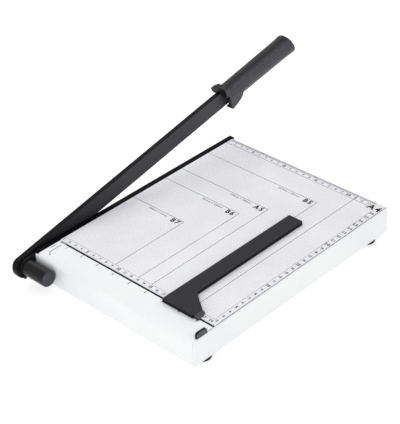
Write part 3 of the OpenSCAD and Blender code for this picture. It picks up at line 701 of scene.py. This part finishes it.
plateLeft, plateRight = arm["face"] - arm["plate"], arm["face"]
rimTools = arm["rimLeft"] - 1, plateRight + 1  # how far the tools that hollow the rim reach across
plate = prism("x", armOutline(0, arm["plateEnd"]), plateLeft, plateRight)
tangPlan = roundedBox(arm["plateEnd"] - 5, arm["tangLow"], arm["tangEnd"], arm["tangHigh"], (0,) * 4)
rimShape = prism("x", armOutline(0, arm["rimEnd"]), arm["rimLeft"], plateRight - 0.4)
below = math.radians(arm["rimFrom"])
underRim = [(0, 0), (40 * math.cos(below), 40 * math.sin(below)), (arm["rimEnd"] + 20, -60), (arm["rimEnd"] + 20, 0)]
cut(rimShape, prism("x", armOutline(arm["rim"], arm["rimEnd"] + 10), *rimTools), prism("x", underRim, *rimTools))
combine(plate, [prism("x", tangPlan, plateLeft, plateRight), rimShape])
bevelTop = arm["edge"] + arm["bevel"]
grind = prism("y", [(plateLeft - 1, arm["edge"] - 1), (plateRight - 0.5, arm["edge"] - 1),
                    (plateRight - 0.5, arm["edge"] - 0.01), (plateLeft - 0.01, bevelTop), (plateLeft - 1, bevelTop)],
              arm["bevelFrom"], arm["plateEnd"] + 1)
pinSpot = [arm["pinReach"] * way(math.radians(arm["pinAngle"])) for way in (math.cos, math.sin)]
cut(plate, grind, rod("x", -9, 2, arm["bush"], steps=48), rod("x", -9, 2, arm["pin"], pinSpot, 32))
soften(plate, 0.45, 3, 34)
# The rim and the faces that look up keep a blacker enamel, a painted shade
finishPiece(plate, "pressed_blade_arm", onArm, enamelledArm, "arm", ["blade_arm"],
            [(groundSteel, lambda c, n: c.z < bevelTop + 0.1 and c.y > arm["bevelFrom"] and n.x < -0.3 and n.z < -0.2),
             (shadedRimEnamel, lambda c, n: n.z > 0.5 or c.x < plateLeft - 0.1)])

r = arm["pin"]
pinProfile = [(-6.8, 0), (-6.8, r - 0.4), (-6.4, r), (2.4, r), (2.8, r - 0.4), (2.8, 0)]
finishPiece(turned("x", pinProfile, pinSpot, 32), "travel_stop_pin", onArm, stovedRail, "arm",
            ["stop_pin"])
print("arm made")


# The grip is a round moulding with a guard for the fingers at its front. Its end cap leans back.
grip = {"start": 338.0, "x": -3.1, "z": 3.8, "r1": 12.3, "r2": 13.1, "capAt": 448.5, "end": 466.3, "capR": 13.6,
        "dome": 1.2, "lean": 5.4, "square": 2.08, "seatX": -12.3, "seatR": 4.1}
guard = {"left": -16.1, "right": 9.9, "from": 338.5, "to": 341.0, "top": 20.5, "bottom": -11.5}


# The grip's section: round, but a little squared so that it turns a soft shoulder to the light
def gripSection(radius, steps=72):
    turns = [2 * math.pi * i / steps for i in range(steps)]
    power = 2 / grip["square"]
    return [(radius * math.copysign(abs(math.cos(a)) ** power, math.cos(a)),
             radius * math.copysign(abs(math.sin(a)) ** power, math.sin(a))) for a in turns]


# Closes a skin over sections of the grip. Each is a place along it, a radius, and how far its top leans back.
def lofted(sections):
    mesh = bmesh.new()
    rings = []
    for along, radius, lean in sections:
        rings.append([mesh.verts.new((grip["x"] + u, along - lean * (v / grip["capR"] + 1) / 2, grip["z"] + v))
                      for u, v in gripSection(radius)])
    for first, second in zip(rings, rings[1:]):
        for i in range(len(first)):
            j = (i + 1) % len(first)
            mesh.faces.new((first[i], first[j], second[j], second[i]))
    mesh.faces.new(rings[0])
    mesh.faces.new(rings[-1])
    return asObject(mesh)


start, left, right = grip["start"], guard["left"], guard["right"]
gripShape = lofted([(start + 2.2, grip["r1"], 0), (380, 12.5, 0), (415, 12.8, 0), (grip["capAt"] + 4, grip["r2"], 0)])
lipOutline = [(right, 9), (left + 1.8, 9)] + arc((left + 2.8, 13), 4, 180, 90, 8) + [(left + 7, guard["top"])]
lipOutline += arc((right - 4, guard["top"] - 4), 4, 90, 0, 8)
wallPlan = roundedBox(plateRight + 0.2, guard["bottom"], right, 9.5, (0,) * 4)
finOutline = [(guard["from"], 5)] + arc((guard["from"] + 3, guard["bottom"] + 2), 3, 180, 300, 10)
finOutline += [(start + 15, -9.0), (start + 19, -7.4), (start + 22.5, -4.4), (start + 25.5, -0.5), (start + 30, 5)]
combine(gripShape, [prism("y", lipOutline, start - 4, guard["to"]), prism("y", wallPlan, guard["from"], guard["to"]),
                    prism("x", finOutline, 0.7, right)])
remesh(gripShape, 0.55, 3)
pocketPlan = roundedBox(plateRight + 0.3, -9.4, right - 2.0, 8.6, (0.5, 1.5, 2.5, 0.5))
bladePlan = roundedBox(plateLeft - 0.1, arm["edge"] - 6, plateRight + 0.4, arm["spine"] + 0.1, (0,) * 4)
rimPlan = roundedBox(arm["rimLeft"] - 0.2, arm["spine"] - arm["rim"] - 0.2, plateRight + 0.4, arm["spine"] + 0.2,
                     (0,) * 4)
tools = [prism("y", pocketPlan, guard["from"] - 3, guard["from"] + 13),
         prism("y", bladePlan, start - 10, arm["plateEnd"] + 0.1), prism("y", rimPlan, start - 10, start + 0.2),
         prism("y", roundedBox(-30, -30, 30, 30, (0,) * 4), grip["capAt"], grip["capAt"] + 10)]
tools += [rod("x", -30, grip["seatX"], grip["seatR"], (y, z), 40) for x, y, z in gripSpots]
cut(gripShape, *tools)
ribPlan = roundedBox(3.0, guard["from"] + 1.2, 4.6, guard["from"] + 13.2, (0.5, 0.5, 0, 0))
combine(gripShape, [soften(prism("z", ribPlan, -9.6, 1.0), 0.25, 2)])
finishPiece(gripShape, "handle_grip_moulding", onArm, erodedPolypropylene, "arm", ["handle_grip"],
            crease=45)

rimAt, capR, lean, rounds = grip["end"] - grip["dome"], grip["capR"], grip["lean"], 12
sections = [(grip["capAt"] + 0.02, grip["r2"], 0), (grip["capAt"] + 3, grip["r2"] + 0.05, 0),
            (grip["capAt"] + 7, capR - 0.1, 0), (rimAt - 1.5, capR - 0.05, lean), (rimAt - 0.5, capR - 0.2, lean),
            (rimAt, capR - 0.7, lean)]
for i in range(1, rounds):  # the domed end
    inward = 1 - i / rounds
    sections.append((rimAt + grip["dome"] * (1 - inward ** 2), (capR - 1.1) * inward + 0.02, lean))
finishPiece(lofted(sections), "handle_end_cap", onArm, endCapPlastic, "arm", ["handle_cap"], crease=50)
print("handle made")


# The gauge is a flat bar with a broad foot, and a tongue under it that runs in the slot
gauge = {"x": 178.0, "y0": 5.4, "y1": 212.4, "bar": 21.0, "foot": 46.0, "z0": 0.3, "z1": 4.3}
# The tab that a thumb pushes slopes down to the right. Across and along are from the gauge's front left corner.
tab = {"left": 44.5, "crest": 46.4, "frontToe": 52.6, "backToe": 49.2, "front": 1.6, "back": 15.4, "crestBack": 14.6,
       "top": 4.0, "crestTop": 3.9, "toeTop": 1.1}
# The ribs on the tab, each shorter than the one in front of it
ridge = {"count": 8, "first": 2.6, "pitch": 1.62, "half": 0.35, "x0": 46.6, "x1": 52.0, "shorter": 0.42,
         "low": 1.25, "high": 3.9}
gx, gy, low = gauge["x"], gauge["y0"], gauge["z0"]
footRight, barRight = gx + gauge["foot"], gx + gauge["bar"]
outline = [(gx, gy + 0.8), (gx + 0.8, gy), (footRight - 1.0, gy), (footRight, gy + 1.2)]
outline += arc((footRight - 5, gy + 12), 5, 0, 58, 10) + arc((barRight + 7, gy + 36), 7, 238, 180, 14)
outline += arc((barRight - 2.6, gauge["y1"] - 2.6), 2.6, 0, 90, 8) + [(gx + 0.8, gauge["y1"]), (gx, gauge["y1"] - 0.8)]
gaugeShape = prism("z", outline, low, gauge["z1"])
tabLeft, crest, front, rear = gx + tab["left"], gx + tab["crest"], gy + tab["front"], gy + tab["back"]
frontToe, backToe, crestBack = (gx + tab["frontToe"], front + 0.2), (gx + tab["backToe"], rear), gy + tab["crestBack"]
corners = [(tabLeft, front, low), (*frontToe, low), (*backToe, low), (tabLeft, rear, low), (tabLeft, front, tab["top"]),
           (crest, front, tab["crestTop"]), (crest, crestBack, tab["crestTop"]), (tabLeft, crestBack, tab["top"]),
           (*frontToe, tab["toeTop"]), (*backToe, tab["toeTop"])]
tabMesh = bmesh.new()
made = [tabMesh.verts.new(c) for c in corners]
for face in ((0, 3, 2, 1), (0, 1, 8, 5, 4), (4, 5, 6, 7), (5, 8, 9, 6), (8, 1, 2, 9), (7, 6, 9, 2, 3), (0, 4, 7, 3)):
    tabMesh.faces.new([made[i] for i in face])
tongue = prism("z", roundedBox(gx + 6, 9.5, gx + 40, 12.1, (0.6,) * 4), -1.6, low + 0.5)
combine(gaugeShape, [asObject(tabMesh), tongue])
soften(gaugeShape, 0.4, 3, 30)
# The bar's sides take a blacker plastic, a painted shade, and the slope of the tab that faces right a lighter grey, a
# painted light
finishPiece(gaugeShape, "paper_back_gauge", onTable, mattAbs, "gauge", ["back_gauge"],
            [(blackAbsAndSideShade, lambda c, n: abs(n.z) < 0.6 and c.x < footRight),
             (paintedLightAbs, lambda c, n: n.x > 0.2 and n.z > 0.4 and c.x > footRight)])

ribs = Ink()
for i in range(ridge["count"]):
    y = gy + ridge["first"] + i * ridge["pitch"]
    x0, x1 = gx + ridge["x0"], gx + ridge["x1"] - i * ridge["shorter"]
    across = []
    for x, z, above in ((x0, ridge["high"], 0.15), (x1, ridge["low"], 0.3)):
        across += [(x, y - ridge["half"], z - 0.3), (x, y + ridge["half"], z - 0.3),
                   (x, y + ridge["half"], z + above), (x, y - ridge["half"], z + above)]
    ribs.add(across, boxFaces)
# The ribs take the lighter grey of the tab too, a painted light
finishPiece(soften(ribs.solid("ribs"), 0.14, 2), "gauge_thumb_ribs", onTable, paintedLightAbs, "gauge")
print("gauge made")


# CAD parts that keep their shape and get these materials
kept = {"guide_rail": stovedRail, "rail_nuts": zincPlate, "knife_screws": zincPlate, "stop_rivets": zincPlate,
        "spring_seat": zincPlate, "pivot_spring": drawnWire, "spring_washer": zincPlate, "lock_nut": zincPlate,
        "pivot_bush": turnedBrass, "bolt_washer": zincPlate, "gauge_shoe": zincPlate, "gauge_spring": drawnWire,
        "gauge_screws": zincPlate}
for name, material in kept.items():
    for place in frame["nodes"][name].material_slots:
        place.material = material
print("kept parts painted")


# A bright plain room with a glowing pale floor. Metres from here on.
studio = {"world": 0.96, "floorDark": "#C0C0C0", "floorLight": "#C4C4C4", "floorGlow": 0.6, "floorReach": 6.0,
          "floorGap": 0.0002}
lamps = {"key": {"place": (-1.1, 0.55, 1.25), "aim": (0, 0, 0.03), "size": (0.9, 0.9), "power": 3.2},
         "fill": {"place": (1.0, -1.2, 1.4), "aim": (0, 0, 0.05), "size": (1.2, 1.2), "power": 6.0},
         "front": {"place": (-0.5, -1.7, 0.7), "aim": (0, 0, 0.03), "size": (1.2, 0.8), "power": 1.4}}
view = {"azimuth": 45.361, "elevation": 33.776, "roll": -3.005, "distance": 1.63443,
        "target": (-0.02615, -0.03309, 0.04), "lens": 119.61, "sensor": 36.0, "nearest": 0.05, "farthest": 50.0}
world = bpy.data.worlds.new("studio")
bpy.context.scene.world = world
world.use_nodes = True
world.node_tree.nodes["Background"].inputs["Color"].default_value = (1.0, 1.0, 1.0, 1.0)
world.node_tree.nodes["Background"].inputs["Strength"].default_value = studio["world"]
bpy.context.scene.view_settings.view_transform = "Standard"
bpy.context.scene.view_settings.look = "None"

floorMesh = bmesh.new()
bmesh.ops.create_grid(floorMesh, x_segments=1, y_segments=1, size=studio["floorReach"])
floor = asObject(floorMesh, "floor")
floor.location.z = cadBox[0].z - studio["floorGap"]
floor.data.materials.append(surface("matt_white_paper", {
    "dark": studio["floorDark"], "light": studio["floorLight"], "glow": studio["floorGlow"], "fleck": 0.0, "grain": 4,
    "cloud": 400, "rough": (0.85, 0.95), "bump": 0.0, "ior": 1.2}))

for name, lamp in lamps.items():
    light = bpy.data.lights.new(name, "AREA")
    light.shape, light.energy = "RECTANGLE", lamp["power"]
    light.size, light.size_y = lamp["size"]
    holder = bpy.data.objects.new(name, light)
    bpy.context.scene.collection.objects.link(holder)
    holder.location = lamp["place"]
    holder.rotation_euler = (Vector(lamp["aim"]) - Vector(lamp["place"])).to_track_quat("-Z", "Y").to_euler()

azimuth, elevation, roll = (math.radians(view[k]) for k in ("azimuth", "elevation", "roll"))
away = Vector((math.sin(azimuth) * math.cos(elevation), -math.cos(azimuth) * math.cos(elevation), math.sin(elevation)))
level = Vector((math.cos(azimuth), math.sin(azimuth), 0))
sideways = level * math.cos(roll) + away.cross(level) * math.sin(roll)
turn = Matrix((sideways, away.cross(sideways), away)).transposed().to_4x4()
lens = bpy.data.cameras.new("camera")
lens.lens, lens.sensor_width = view["lens"], view["sensor"]
lens.clip_start, lens.clip_end = view["nearest"], view["farthest"]
camera = bpy.data.objects.new("camera", lens)
bpy.context.scene.collection.objects.link(camera)
camera.matrix_world = Matrix.Translation(Vector(view["target"]) + away * view["distance"]) @ turn
bpy.context.scene.camera = camera
print("studio made")
